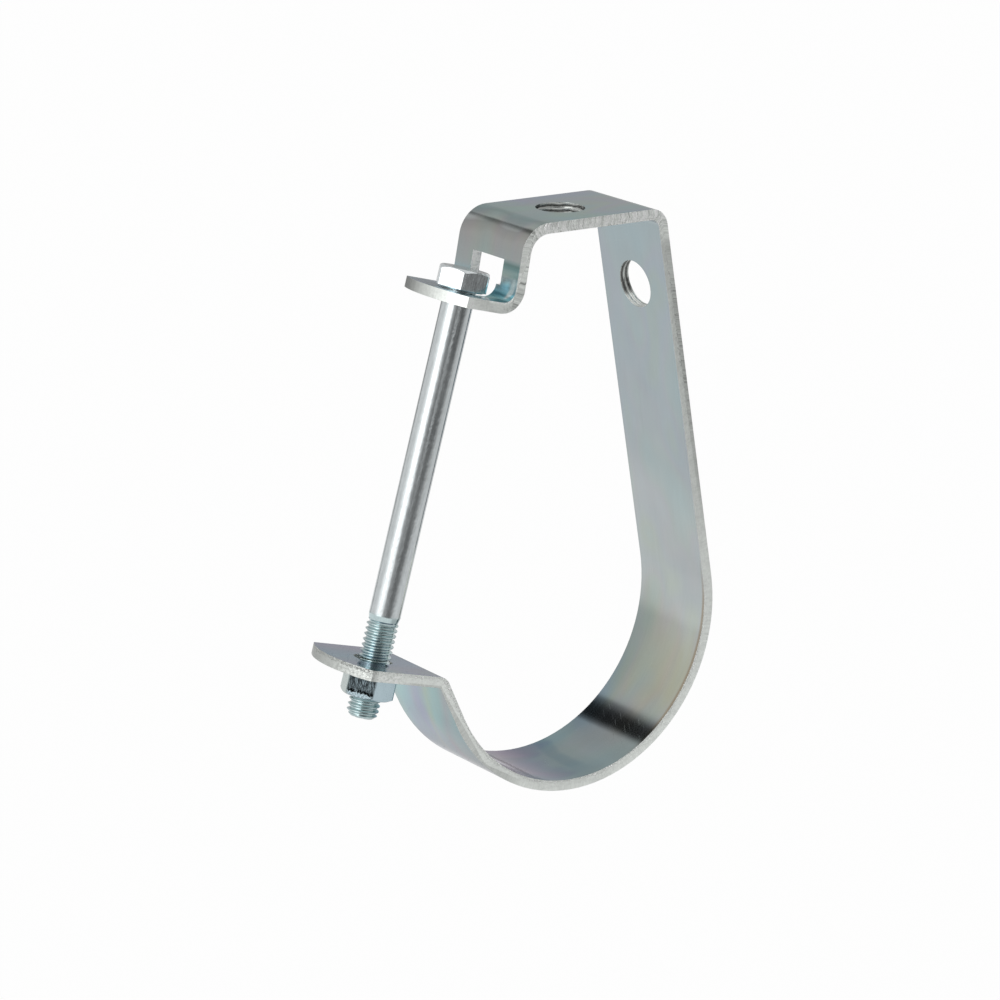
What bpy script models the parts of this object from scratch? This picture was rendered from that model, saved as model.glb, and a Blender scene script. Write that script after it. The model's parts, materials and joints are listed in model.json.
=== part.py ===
"""J-hanger for a pipe: a folded steel strap, the long bolt that closes it and the bolt's nut.

Metres, +Z up. The origin is the centre of the rod hole on the top plate's upper face, where the
hanger hangs from its rod. +X points to the long leg, and the strap's width runs along Y.

The strap is made the way the real one is: a flat blank is cut and punched in one piece, and then
every fold is rolled into it along the strap's middle line.
"""

from math import acos, asin, atan2, cos, degrees, pi, radians, sin, tan

import bmesh
import bpy
from mathutils import Matrix, Vector

# Strap
STRAP_WIDTH = 0.0305
STRAP_THICKNESS = 0.003175
CRADLE_RADIUS = 0.04553
TOP_ABOVE_CRADLE = 0.12265
CRADLE_SHIFT = 0.0005
LEG_LEAN = radians(11.03)
LIP_LEAN = radians(25.5)
LIP_LENGTH = 0.01496
SHORT_LEG_FROM_ROD = 0.02296
SHORT_LEG_LEAN = radians(9.6)
SHORT_LEG_LENGTH = 0.02247

# Inside radii of the four sharp folds
LEG_FOLD_RADIUS = 0.0030
SHORT_LEG_FOLD_RADIUS = 0.0060
UPPER_EAR_FOLD_RADIUS = 0.0037
LOWER_EAR_FOLD_RADIUS = 0.0012

# Ears: how far each end's corners lie past the bolt, and how far the rounded end bulges past them
UPPER_EAR_PAST_BOLT = 0.0081
UPPER_EAR_BULGE = 0.0040
LOWER_EAR_PAST_BOLT = 0.0110
LOWER_EAR_BULGE = 0.0050
LOWER_BOLT_FROM_FOLD = 0.0152

# Round holes for the hanger's rod, in the top plate and in the long leg
ROD_HOLE_RADIUS = 0.00715
SIDE_HOLE_RADIUS = 0.00715
SIDE_HOLE_DROP = 0.0255

# Bolt and nut
SHANK_RADIUS = 0.0046
THREAD_RADIUS = 0.0045
THREAD_LENGTH = 0.0287
THREAD_TAPER = 0.0008
THREAD_PAST_NUT = 0.0060
TIP_CHAMFER = 0.0007
HEAD_ACROSS_FLATS = 0.0142
HEAD_HEIGHT = 0.00595
WASHER_FACE_HEIGHT = 0.00035
NUT_ACROSS_FLATS = 0.0142
NUT_HEIGHT = 0.0074
NUT_MOUTH = 0.0006
CORNER_CHAMFER = radians(30)
CORNER_ROUND = 0.00022
FACE_SHARE = 0.94
HEAD_TURN = radians(-4.4)
NUT_TURN = radians(6.7)

# Clearances
SEAT_GAP = 0.0003
THREAD_GAP = 0.0003
HEAD_TO_SHORT_LEG = 0.0008
SLOT_CLEARANCE = 0.00095
OVAL_CLEARANCE = 0.0007
OVAL_STRETCH = 0.0010
WINDOW_SIDE_CLEARANCE = 0.0004
WINDOW_HEADROOM = 0.00145

# Facets
CRADLE_FACETS = 48
FOLD_FACETS = 10
HOLE_FACETS = 48
END_FACETS = 16
FLAT_FACETS = 8
SHARP_ANGLE = radians(28)
SAME_PLACE = 1e-7

HALF_WIDTH = STRAP_WIDTH / 2
HALF_THICKNESS = STRAP_THICKNESS / 2
UPPER_BOLT_FROM_FOLD = HEAD_ACROSS_FLATS / 2 + HEAD_TO_SHORT_LEG
UPPER_EAR_LENGTH = UPPER_BOLT_FROM_FOLD + UPPER_EAR_PAST_BOLT + UPPER_EAR_BULGE
CRADLE_CENTRE = Vector((CRADLE_SHIFT, -TOP_ABOVE_CRADLE))


def clear_scene():
    for thing in list(bpy.data.objects):
        bpy.data.objects.remove(thing, do_unlink=True)


def heading(angle):
    """Unit vector in the XZ plane, at an angle from +X towards +Z."""
    return Vector((cos(angle), sin(angle)))


def left_of(direction):
    return Vector((-direction.y, direction.x))


class Line:
    """A straight run of the strap in the XZ plane: a point on it and the way along it."""

    def __init__(self, point, angle):
        self.point = Vector(point)
        self.angle = angle
        self.along = heading(angle)

    def moved(self, distance):
        """The same run, shifted to its left."""
        return Line(self.point + left_of(self.along) * distance, self.angle)

    def meets(self, other):
        across = left_of(other.along)
        step = (other.point - self.point).dot(across) / self.along.dot(across)
        return self.point + self.along * step


def strap_runs():
    """The strap's straight runs along its middle line, from the upper ear's end to the lower ear's.

    The strap's outer side is on the left all the way round. The ears are square to the bolt, whose
    lean follows from where its two holes are.
    """
    top = Line((0, 0), 0)
    leg_foot = CRADLE_CENTRE + heading(LEG_LEAN) * (CRADLE_RADIUS + STRAP_THICKNESS)
    leg = Line(leg_foot, LEG_LEAN - pi / 2)
    short_leg_angle = pi / 2 - SHORT_LEG_LEAN
    short_leg_top = Vector((-SHORT_LEG_FROM_ROD, 0))
    upper_fold = short_leg_top - heading(short_leg_angle) * SHORT_LEG_LENGTH
    short_leg = Line(short_leg_top, short_leg_angle)
    lip = Line(CRADLE_CENTRE - heading(LIP_LEAN) * CRADLE_RADIUS, pi / 2 + LIP_LEAN)
    lower_fold = lip.point + lip.along * LIP_LENGTH

    reach = upper_fold - lower_fold
    lean = atan2(reach.x, reach.y) + asin((LOWER_BOLT_FROM_FOLD - UPPER_BOLT_FROM_FOLD) / reach.length)
    ear_angle = pi - lean
    upper_ear = Line(upper_fold, ear_angle + pi)
    lower_ear = Line(lower_fold, ear_angle)
    bolt_seat = upper_fold + heading(ear_angle) * UPPER_BOLT_FROM_FOLD
    ear_span = (bolt_seat - lower_fold).dot(heading(pi / 2 - lean))
    runs = {
        "upper_ear": upper_ear.moved(-HALF_THICKNESS),
        "short_leg": short_leg.moved(-HALF_THICKNESS),
        "top": top.moved(-HALF_THICKNESS),
        "leg": leg.moved(-HALF_THICKNESS),
        "lip": lip.moved(HALF_THICKNESS),
        "lower_ear": lower_ear.moved(HALF_THICKNESS),
    }
    return runs, lean, bolt_seat, ear_span


class Fold:
    """One bend of the middle line between two straight runs."""

    def __init__(self, before, after, radius, facets):
        self.turn = (after.angle - before.angle + pi) % (2 * pi) - pi
        self.radius = radius
        self.facets = facets
        self.corner = before.meets(after)
        self.reach = radius * tan(abs(self.turn) / 2)
        self.length = radius * abs(self.turn)


class Strip:
    """The middle line as a list of straight and bent pieces, measured along its length."""

    def __init__(self, start, angle):
        self.place = Vector(start)
        self.angle = angle
        self.length = 0.0
        self.pieces = []

    def straight(self, length):
        self.pieces.append((self.length, length, self.place.copy(), self.angle, 0.0, 1))
        self.place = self.place + heading(self.angle) * length
        self.length += length

    def bend(self, fold):
        self.pieces.append((self.length, fold.length, self.place.copy(), self.angle, fold.turn, fold.facets))
        chord = 2 * fold.radius * sin(abs(fold.turn) / 2)
        self.place = self.place + heading(self.angle + fold.turn / 2) * chord
        self.angle += fold.turn
        self.length += fold.length

    def fold_lines(self):
        """Distances along the blank at which its faces bend."""
        lines = []
        for start, length, _, _, turn, facets in self.pieces:
            if turn:
                lines += [start + length * step / facets for step in range(facets + 1)]
        return lines

    def folded(self, point):
        """Where a point of the flat blank comes to lie once the strap is folded."""
        start, length, place, angle, turn, _ = self.pieces[0]
        for piece in self.pieces:
            if point.x >= piece[0] - SAME_PLACE:
                start, length, place, angle, turn, _ = piece
        along = point.x - start
        if turn:
            swung = turn * along / length
            radius = length / abs(turn)
            chord = 2 * radius * sin(abs(swung) / 2)
            spot = place + heading(angle + swung / 2) * chord
            side = left_of(heading(angle + swung))
        else:
            spot = place + heading(angle) * along
            side = left_of(heading(angle))
        spot = spot + side * point.z
        return Vector((spot.x, point.y, spot.y))


def middle_line(runs):
    """The strip, and the distances along it at which the holes are placed."""
    cradle = CRADLE_RADIUS + HALF_THICKNESS
    upper = Fold(runs["upper_ear"], runs["short_leg"], UPPER_EAR_FOLD_RADIUS + HALF_THICKNESS, FOLD_FACETS)
    left = Fold(runs["short_leg"], runs["top"], SHORT_LEG_FOLD_RADIUS + HALF_THICKNESS, FOLD_FACETS)
    right = Fold(runs["top"], runs["leg"], LEG_FOLD_RADIUS + HALF_THICKNESS, FOLD_FACETS)
    lower = Fold(runs["lip"], runs["lower_ear"], LOWER_EAR_FOLD_RADIUS + HALF_THICKNESS, FOLD_FACETS)
    bowl = Fold(runs["leg"], runs["lip"], cradle, CRADLE_FACETS)

    ear_start = runs["upper_ear"].point - runs["upper_ear"].along * UPPER_EAR_LENGTH
    strip = Strip(ear_start, runs["upper_ear"].angle)
    strip.straight((upper.corner - ear_start).length - upper.reach)
    strip.bend(upper)
    window_foot = strip.length
    strip.straight((left.corner - upper.corner).length - upper.reach - left.reach)
    strip.bend(left)
    rod = strip.length - left.reach - left.corner.x
    strip.straight((right.corner - left.corner).length - left.reach - right.reach)
    strip.bend(right)
    leg_foot = CRADLE_CENTRE + heading(LEG_LEAN) * cradle
    outer_corner = runs["top"].moved(HALF_THICKNESS).meets(runs["leg"].moved(HALF_THICKNESS))
    side_hole = outer_corner + runs["leg"].along * SIDE_HOLE_DROP
    side = strip.length + (side_hole - right.corner).dot(runs["leg"].along) - right.reach
    strip.straight((leg_foot - right.corner).length - right.reach)
    strip.bend(bowl)
    lip_start = CRADLE_CENTRE - heading(LIP_LEAN) * cradle
    strip.straight((lower.corner - lip_start).length - lower.reach)
    strip.bend(lower)
    lower_bolt = runs["lower_ear"].point + runs["lower_ear"].along * LOWER_BOLT_FROM_FOLD
    to_bolt = (lower_bolt - lower.corner).dot(runs["lower_ear"].along)
    low_bolt = strip.length + to_bolt - lower.reach
    strip.straight(to_bolt - lower.reach + LOWER_EAR_PAST_BOLT + LOWER_EAR_BULGE)
    return strip, {"rod": rod, "side": side, "low_bolt": low_bolt, "window_foot": window_foot}


def arc_points(centre, radius, start, end, steps):
    """Points on an arc from one angle to another, both ends included."""
    points = []
    for step in range(steps + 1):
        angle = start + (end - start) * step / steps
        points.append((centre[0] + radius * cos(angle), centre[1] + radius * sin(angle)))
    return points


def bulge_arc(corner_x, bulge, sign):
    """A rounded strap end between its two corners, bulging along X by the given amount."""
    radius = (HALF_WIDTH ** 2 + bulge ** 2) / (2 * bulge)
    half = asin(min(1.0, HALF_WIDTH / radius))
    middle = 0.0 if sign > 0 else pi
    centre = (corner_x + sign * (bulge - radius), 0.0)
    return arc_points(centre, radius, middle - half, middle + half, END_FACETS)


def circle(x, radius):
    return arc_points((x, 0), radius, 0, 2 * pi, HOLE_FACETS)[:-1]


def oval(x, radius, stretch):
    """A round hole drawn out along the strap."""
    half = HOLE_FACETS // 2
    right = arc_points((x + stretch / 2, 0), radius, -pi / 2, pi / 2, half)
    left = arc_points((x - stretch / 2, 0), radius, pi / 2, 3 * pi / 2, half)
    return right + left


def keyhole(bolt_x, foot_x, head_x):
    """The bolt's slot in the upper ear, opening into the wider window in the short leg."""
    slot = SHANK_RADIUS + SLOT_CLEARANCE
    window = HEAD_ACROSS_FLATS / 2 + WINDOW_SIDE_CLEARANCE
    round_end = arc_points((bolt_x, 0), slot, pi / 2, 3 * pi / 2, HOLE_FACETS // 2)
    return round_end + [
        (foot_x, -slot),
        (foot_x, -window),
        (head_x, -window),
        (head_x, window),
        (foot_x, window),
        (foot_x, slot),
    ]


def punched_blank(strip, holes):
    """The flat blank with its rounded ends and its holes, before any fold."""
    outline = bulge_arc(UPPER_EAR_BULGE, UPPER_EAR_BULGE, -1)
    outline += bulge_arc(strip.length - LOWER_EAR_BULGE, LOWER_EAR_BULGE, 1)
    upper_bolt = UPPER_EAR_BULGE + UPPER_EAR_PAST_BOLT
    window_top = holes["window_foot"] + HEAD_HEIGHT + WINDOW_HEADROOM
    loops = [
        outline,
        keyhole(upper_bolt, holes["window_foot"], window_top),
        circle(holes["rod"], ROD_HOLE_RADIUS),
        circle(holes["side"], SIDE_HOLE_RADIUS),
        oval(holes["low_bolt"] + OVAL_STRETCH / 2, SHANK_RADIUS + OVAL_CLEARANCE, OVAL_STRETCH),
    ]
    bm = bmesh.new()
    for points in loops:
        corners = [bm.verts.new((x, y, -HALF_THICKNESS)) for x, y in points]
        for first, second in zip(corners, corners[1:] + corners[:1]):
            bm.edges.new((first, second))
    bmesh.ops.triangle_fill(bm, use_beauty=True, edges=bm.edges[:], normal=(0, 0, -1))
    raised = bmesh.ops.extrude_face_region(bm, geom=bm.faces[:])
    lifted = [part for part in raised["geom"] if isinstance(part, bmesh.types.BMVert)]
    bmesh.ops.translate(bm, verts=lifted, vec=(0, 0, STRAP_THICKNESS))
    bmesh.ops.recalc_face_normals(bm, faces=bm.faces[:])
    return bm


def make_strap(runs, material):
    strip, holes = middle_line(runs)
    bm = punched_blank(strip, holes)
    for line in strip.fold_lines():
        blank = bm.verts[:] + bm.edges[:] + bm.faces[:]
        bmesh.ops.bisect_plane(bm, geom=blank, dist=SAME_PLACE, plane_co=(line, 0, 0), plane_no=(1, 0, 0))
    for corner in bm.verts:
        corner.co = strip.folded(corner.co)
    finish_object("hanger_strap", bm, material)


class Hexagon:
    """Rays from the middle of a hexagon to its outline, which all rings of a head or a nut share."""

    def __init__(self, across_flats, turn):
        half = across_flats / 2
        corner = half / cos(pi / 6) - CORNER_ROUND
        flat_end = acos(half / corner)
        self.rays = []
        for side in range(6):
            middle = turn + (side + 0.5) * pi / 3
            for step in range(FLAT_FACETS + 1):
                off = flat_end * (2 * step / FLAT_FACETS - 1)
                self.rays.append((heading(middle + off), half / cos(off)))
            self.rays.append((heading(middle + pi / 6), corner))

    def outline(self):
        return [way * reach for way, reach in self.rays]

    def circle(self, radius):
        return [way * radius for way, _ in self.rays]


def chamfered(points, face_radius, face_z, sign):
    """The hexagon's edge where its chamfer cone leaves the flats, below or above a round face."""
    drop = tan(CORNER_CHAMFER)
    return [Vector((p.x, p.y, face_z - sign * max(0.0, p.length - face_radius) * drop)) for p in points]


def level(points, z):
    return [Vector((point.x, point.y, z)) for point in points]


def lofted(rings, closed):
    """A solid through a row of rings with the same count of points.

    A closed row joins its last ring to its first, as a nut's bore does; an open one is capped.
    """
    bm = bmesh.new()
    rows = [[bm.verts.new(point) for point in ring] for ring in rings]
    pairs = list(zip(rows, rows[1:]))
    if closed:
        pairs.append((rows[-1], rows[0]))
    for upper, lower in pairs:
        for index in range(len(upper)):
            after = (index + 1) % len(upper)
            bm.faces.new((upper[index], lower[index], lower[after], upper[after]))
    if not closed:
        bm.faces.new(rows[0])
        bm.faces.new(rows[-1])
    bmesh.ops.recalc_face_normals(bm, faces=bm.faces[:])
    return bm


def make_bolt(material, ear_span, axis):
    """The bolt in its own frame: the upper ear's face is at zero and the head points to +Z."""
    face = HEAD_ACROSS_FLATS / 2 * FACE_SHARE
    head_top = SEAT_GAP + HEAD_HEIGHT
    hex_foot = SEAT_GAP + WASHER_FACE_HEIGHT
    hexagon = Hexagon(HEAD_ACROSS_FLATS, HEAD_TURN)
    flats = hexagon.outline()
    tip = -(ear_span + STRAP_THICKNESS + SEAT_GAP + NUT_HEIGHT + THREAD_PAST_NUT)
    thread_top = tip + THREAD_LENGTH
    rings = [
        level(hexagon.circle(face), head_top),
        chamfered(flats, face, head_top, 1),
        level(flats, hex_foot),
        level(hexagon.circle(face), hex_foot),
        level(hexagon.circle(face), SEAT_GAP),
        level(hexagon.circle(SHANK_RADIUS), SEAT_GAP),
        level(hexagon.circle(SHANK_RADIUS), thread_top + THREAD_TAPER),
        level(hexagon.circle(THREAD_RADIUS), thread_top),
        level(hexagon.circle(THREAD_RADIUS), tip + TIP_CHAMFER),
        level(hexagon.circle(THREAD_RADIUS - TIP_CHAMFER), tip),
    ]
    bolt = finish_object("hex_bolt", lofted(rings, False), material)
    bolt.parent = axis


def make_nut(material, ear_span, axis):
    """The nut in its own frame: the lower ear's underside is at zero and the bolt's tip is below."""
    face = NUT_ACROSS_FLATS / 2 * FACE_SHARE
    bore = THREAD_RADIUS + THREAD_GAP
    top = -SEAT_GAP
    bottom = top - NUT_HEIGHT
    hexagon = Hexagon(NUT_ACROSS_FLATS, NUT_TURN)
    flats = hexagon.outline()
    rings = [
        level(hexagon.circle(bore + NUT_MOUTH), top),
        level(hexagon.circle(face), top),
        chamfered(flats, face, top, 1),
        chamfered(flats, face, bottom, -1),
        level(hexagon.circle(face), bottom),
        level(hexagon.circle(bore + NUT_MOUTH), bottom),
        level(hexagon.circle(bore), bottom + NUT_MOUTH),
        level(hexagon.circle(bore), top - NUT_MOUTH),
    ]
    nut = finish_object("hex_nut", lofted(rings, True), material)
    nut.parent = axis
    nut.location = (0, 0, -(ear_span + STRAP_THICKNESS))


def finish_object(name, bm, material):
    mesh = bpy.data.meshes.new(name)
    bm.to_mesh(mesh)
    bm.free()
    mesh.shade_smooth()
    mesh.set_sharp_from_angle(angle=SHARP_ANGLE)
    mesh.materials.append(material)
    thing = bpy.data.objects.new(name, mesh)
    bpy.context.scene.collection.objects.link(thing)
    return thing


def zinc(name, colour, roughness):
    material = bpy.data.materials.new(name)
    material.use_nodes = True
    shader = material.node_tree.nodes["Principled BSDF"]
    shader.inputs["Base Color"].default_value = (*colour, 1)
    shader.inputs["Metallic"].default_value = 1.0
    shader.inputs["Roughness"].default_value = roughness
    return material


def main():
    clear_scene()
    runs, lean, bolt_seat, ear_span = strap_runs()
    make_strap(runs, zinc("strap_zinc", (0.58, 0.63, 0.65), 0.32))
    axis = bpy.data.objects.new("bolt_axis", None)
    bpy.context.scene.collection.objects.link(axis)
    axis.matrix_world = Matrix.Translation((bolt_seat.x, 0, bolt_seat.y)) @ Matrix.Rotation(lean, 4, "Y")
    make_bolt(zinc("bolt_zinc", (0.68, 0.70, 0.72), 0.22), ear_span, axis)
    make_nut(zinc("nut_zinc", (0.62, 0.66, 0.68), 0.30), ear_span, axis)
    print("bolt lean", round(degrees(lean), 3), "seat", tuple(round(v, 5) for v in bolt_seat))
    print("ear span", round(ear_span, 5))


main()
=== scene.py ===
"""Looks of the J-hanger: its plated strap, bolt and nut, the floor, the light and the camera.

Metres, +Z up. The origin is the centre of the rod hole on the top plate's upper face.
"""

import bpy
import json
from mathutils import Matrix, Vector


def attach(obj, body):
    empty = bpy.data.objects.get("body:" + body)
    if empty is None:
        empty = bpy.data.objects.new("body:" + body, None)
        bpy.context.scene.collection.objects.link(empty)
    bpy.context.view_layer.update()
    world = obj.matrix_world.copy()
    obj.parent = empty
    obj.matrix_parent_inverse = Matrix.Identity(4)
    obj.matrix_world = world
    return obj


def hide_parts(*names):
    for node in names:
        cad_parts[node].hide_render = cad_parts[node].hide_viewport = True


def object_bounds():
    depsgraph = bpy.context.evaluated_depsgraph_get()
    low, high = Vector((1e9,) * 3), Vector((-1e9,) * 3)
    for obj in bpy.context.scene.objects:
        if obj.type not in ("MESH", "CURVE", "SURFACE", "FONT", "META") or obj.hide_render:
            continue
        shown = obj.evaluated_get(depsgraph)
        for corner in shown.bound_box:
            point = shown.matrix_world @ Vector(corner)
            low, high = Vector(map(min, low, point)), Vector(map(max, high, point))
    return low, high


bl_info = {
    "name": "J-hanger looks",
    "version": (1, 0, 0),
    "blender": (4, 5, 0),
    "location": "View3D > Sidebar > Hanger",
    "description": "Dresses the packed J-hanger as a zinc plated strap with a real bolt and nut",
    "category": "Object",
}

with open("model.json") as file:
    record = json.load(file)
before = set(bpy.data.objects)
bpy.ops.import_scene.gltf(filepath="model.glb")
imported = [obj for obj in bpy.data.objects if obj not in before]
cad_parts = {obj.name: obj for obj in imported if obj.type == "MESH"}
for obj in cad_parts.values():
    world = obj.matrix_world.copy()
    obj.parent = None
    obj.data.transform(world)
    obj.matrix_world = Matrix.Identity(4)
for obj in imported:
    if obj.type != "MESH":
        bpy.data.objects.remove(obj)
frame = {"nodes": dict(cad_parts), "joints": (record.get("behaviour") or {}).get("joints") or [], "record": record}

import json
from contextlib import contextmanager
from math import atan2, cos, floor, pi, radians, sin

import bmesh
import bpy
import numpy as np
from bpy.props import FloatProperty, FloatVectorProperty, PointerProperty
from mathutils import Matrix, Vector

CAD_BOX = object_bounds()

# The bolt's own frame: its axis is the joint that it turns on, and its height counts from the seat
BOLT_JOINT = next(joint for joint in frame["joints"] if joint["name"] == "bolt_turn")
BOLT_AXIS = Vector(BOLT_JOINT["axis"])
BOLT_LEAN = atan2(BOLT_AXIS.x, BOLT_AXIS.z)
BOLT_FRAME = Matrix.Translation(Vector(BOLT_JOINT["pos_m"])) @ Matrix.Rotation(BOLT_LEAN, 4, "Y")
BOLT_SEAT = Matrix.Rotation(-BOLT_LEAN, 3, "Y") @ Vector(BOLT_JOINT["pos_m"])

# The thread: its place in the bolt's frame, and its profile as shares of the pitch and of its depth
PITCH = frame["record"]["behaviour"]["couplings"][0]["ratio"] * 2 * pi
THREAD_PHASE = 0.72
THREAD_TOP = -0.0952
THREAD_STEPS = 64
THREAD_RUNOUT = 0.7
THREAD_PROFILE = [
    (0, 1.0), (0.07, 1.0), (0.10, 0.93), (0.20, 0.60), (0.30, 0.27), (0.375, 0.06),
    (0.43, 0.01), (0.5, 0.0),
]
TIP_DEPTH = 0.0004
TIP_SLOPE = 1.1
THREAD_OVERLAP = 0.0001  # How deep the thread goes into the shank
UNDER_HEAD = -0.01

# Where the strap is cut by its two round holes, and how far their walls reach
OPENINGS = {opening["name"]: opening["box_m"] for opening in frame["record"]["physics"]["openings"]}
HOLE_CENTRES = [
    sum((Vector(end) for end in OPENINGS[name]), Vector()) / 2
    for name in ("rod_hole_way", "side_hole_way")
]
HOLE_REACH = 0.0085
RING_PITCH = 0.00155

SAME_PLACE = 1e-6
MOUTH_SLACK = 0.0002  # The nut's two ends are this flat in the bolt's frame
BORE_SLACK = 1e-5
STRAIGHT = 0.004  # The middle line's steps that are longer are straight, the others are in a fold
EAR_STRETCH = 0.04  # How far the middle line goes on over the ears
PROBE = 0.0001  # How far off a face its way on the blank is measured
ROLLED_LEAN = 0.985  # A face that looks out of the sheet by this share is a rolled one
BROKEN_LEAN = 0.15  # A broken edge's face that does so by this share takes its light at that end
FLAT_AREA = 1e-5  # The hexagon's flats are larger than this

# Rounding of the edges, and how sharp an edge has to be for it
STRAP_SHARP = radians(40)
HEX_SHARP = radians(24)
HEX_EDGE_BREAK = 0.00012
SMOOTH_ANGLE = radians(42)
FLAT_ANGLE = radians(0.4)

# What the photograph's camera looks at
CRADLE_CENTRE = Vector((0.0005, 0, -0.12265))

# The flat blank: across it the near edge is negative, and through it the outer face is positive
STRAP_WIDTH = 0.0305
FACE_SPLIT = 0.0002

# Stretches along the blank: where each begins, is full, fades and ends
LOWER_BEND = (-0.004, 0.001, 0.013, 0.016)
CALM_LEG = (0.0, 0.008, 0.026, 0.034)
PLATE_TOP = (0.030, 0.040, 0.060, 0.074)
CRADLE_FOOT = (0.190, 0.205, 0.242, 0.250)
# A painted dark reflection across the cradle's inside
PAINTED_REFLECTION_BAND = (0.2308, 0.2330, 0.2408, 0.2425)
RIM_STAIN = (0.175, 0.195, 0.225, 0.250)

# The same for the sheared walls
CREASE_WALL = (-0.006, -0.001, 0.008, 0.016)
FOLD_WALL = (-0.004, 0.004, 0.020, 0.030)
PLATE_WALL = (0.016, 0.026, 0.070, 0.080)
LEG_WALL = (0.074, 0.086, 0.110, 0.165)
LEG_RIM = (0.084, 0.096, 0.145, 0.170)
LIP_WALL = (0.286, 0.294, 0.343, 0.350)

# A painted highlight in the lower bend beside the window, a pale spot in the colour: its place and reach along and
# across the blank
PAINTED_HIGHLIGHT_PLACE = (0.0074, -0.0131)
PAINTED_HIGHLIGHT_REACH = (0.0038, 0.0012)

# The soft dark line across the cradle: its place at mid width, its slope and its half width
LINE_PLACE = 0.2600
LINE_SLOPE = 0.113
LINE_REACH = 0.0036

# The chipped patch on the wall of the lower bend, along and through the blank
CHIP_PLACE = 0.0068
CHIP_REACH = (0.0020, 0.0009)

# The dark streak on the short leg's wall: its middle, half width and softness
DUSK = (0.0243, 0.0012, 0.0010)

# The walls' greatest shade, at which their colour is just below white
PALEST_WALL = 1.57

# The film's colour by the distance along the flat blank, as shares of STRAP_REACH
STRAP_REACH = 0.36
INNER_FILM = [
    (0.00, 1.02, 0.98, 1.02), (0.20, 0.98, 1.00, 1.01), (0.40, 1.01, 1.02, 1.00),
    (0.47, 1.17, 1.13, 1.08), (0.545, 1.20, 1.16, 1.08), (0.58, 1.14, 1.06, 0.88),
    (0.62, 1.08, 1.00, 0.80), (0.66, 0.96, 0.98, 0.93), (0.70, 0.92, 1.00, 0.98),
    (0.735, 0.80, 0.95, 0.98), (0.75, 0.70, 0.79, 0.93), (0.768, 0.76, 0.70, 0.90),
    (0.788, 1.08, 0.80, 1.00), (0.82, 0.84, 0.90, 1.06), (0.925, 0.80, 0.85, 0.98),
    (0.95, 0.68, 0.77, 0.92), (1.00, 0.58, 0.73, 0.88),
]
OUTER_FILM = [
    (0.00, 0.66, 1.10, 1.16), (0.012, 0.66, 1.12, 1.18), (0.024, 0.74, 1.10, 1.14),
    (0.036, 0.97, 0.98, 0.90), (0.052, 0.95, 0.90, 0.83), (0.061, 0.95, 0.85, 0.77),
    (0.064, 0.79, 0.70, 0.63), (0.067, 0.81, 0.74, 0.68), (0.0695, 1.36, 1.30, 1.18),
    (0.0725, 1.06, 1.06, 0.99), (0.0775, 0.69, 0.80, 0.74), (0.083, 0.72, 0.95, 0.86),
    (0.095, 0.78, 1.06, 0.93), (0.115, 0.86, 1.02, 0.97), (0.15, 0.92, 1.01, 0.99),
    (0.20, 0.98, 1.02, 0.98),
]

# More of it beside the window, from the lower bend up the short leg, as shares of CORNER_REACH; its brightest
# stops, near the middle, are a painted highlight
CORNER_REACH = 0.02
CORNER_FILM_AND_HIGHLIGHT = [
    (0.00, 0.75, 0.85, 0.80), (0.10, 0.80, 0.90, 0.85), (0.175, 1.10, 1.20, 1.20),
    (0.25, 1.30, 1.60, 1.70), (0.35, 1.15, 1.15, 1.20), (0.425, 1.50, 1.20, 1.20),
    (0.50, 2.40, 1.90, 1.85), (0.55, 1.70, 1.50, 1.50), (0.60, 1.00, 1.05, 1.00),
    (0.65, 0.88, 1.00, 1.00), (0.70, 0.56, 0.76, 0.78), (0.75, 0.42, 0.58, 0.58),
    (0.79, 0.75, 0.85, 0.87), (0.83, 1.00, 1.00, 1.00),
]

# How the cradle's inside and the lower ear's top change across the strap, near edge to far edge
CRADLE_ACROSS = [
    (0.00, 1.15, 1.11, 1.12), (0.30, 1.09, 1.05, 1.02), (0.50, 1.05, 1.00, 1.00),
    (0.70, 0.97, 0.97, 1.01), (0.88, 0.80, 0.88, 0.97), (1.00, 0.74, 0.84, 0.94),
]
EAR_ACROSS = [
    (0.00, 1.18, 1.15, 1.10), (0.10, 0.98, 0.93, 0.95), (0.20, 0.87, 0.84, 0.86),
    (0.38, 0.78, 0.91, 0.97), (0.50, 0.70, 0.90, 0.97), (0.70, 0.72, 0.79, 0.93),
    (0.85, 0.90, 0.75, 0.90), (1.00, 0.97, 0.80, 0.96),
]

# The film under the lip by the distance across it, from the near edge to the far one
LIP_FILM = [
    (0.00, 0.72, 0.72, 0.76), (0.14, 0.76, 0.79, 0.83), (0.26, 0.80, 0.74, 0.81),
    (0.36, 0.74, 0.86, 0.90), (0.46, 0.80, 0.95, 0.98), (0.53, 0.90, 0.97, 0.90),
    (0.60, 0.82, 0.89, 0.99), (0.70, 0.80, 0.84, 1.02), (0.82, 0.87, 0.85, 1.04),
    (0.92, 0.92, 0.96, 1.07), (1.00, 0.97, 1.06, 1.10),
]

# How pale the sheared wall is, by the distance along the blank; the high stops near the top-right bend are a
# painted highlight
WALL_TONES_AND_HIGHLIGHT = [
    (0.00, 1.36), (0.017, 1.20), (0.03, 1.29), (0.05, 1.48), (0.067, 1.28), (0.08, 1.56), (0.13, 1.42),
    (0.17, 1.54), (0.19, 1.58), (0.208, 1.36), (0.225, 1.18), (0.25, 1.24), (0.35, 1.26), (0.45, 1.26),
    (0.50, 1.38), (0.60, 1.43), (0.67, 1.50), (0.74, 1.36), (0.82, 1.44), (0.92, 1.53), (0.98, 1.48),
]

# The film's random patches
MOTTLE = [
    (0.24, 0.82, 1.03, 1.06), (0.38, 0.93, 1.03, 1.03), (0.47, 1.02, 1.00, 0.97),
    (0.53, 1.08, 0.93, 1.02), (0.59, 1.01, 0.96, 1.06), (0.67, 1.05, 1.04, 0.90),
    (0.76, 0.88, 1.03, 1.03),
]
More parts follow.
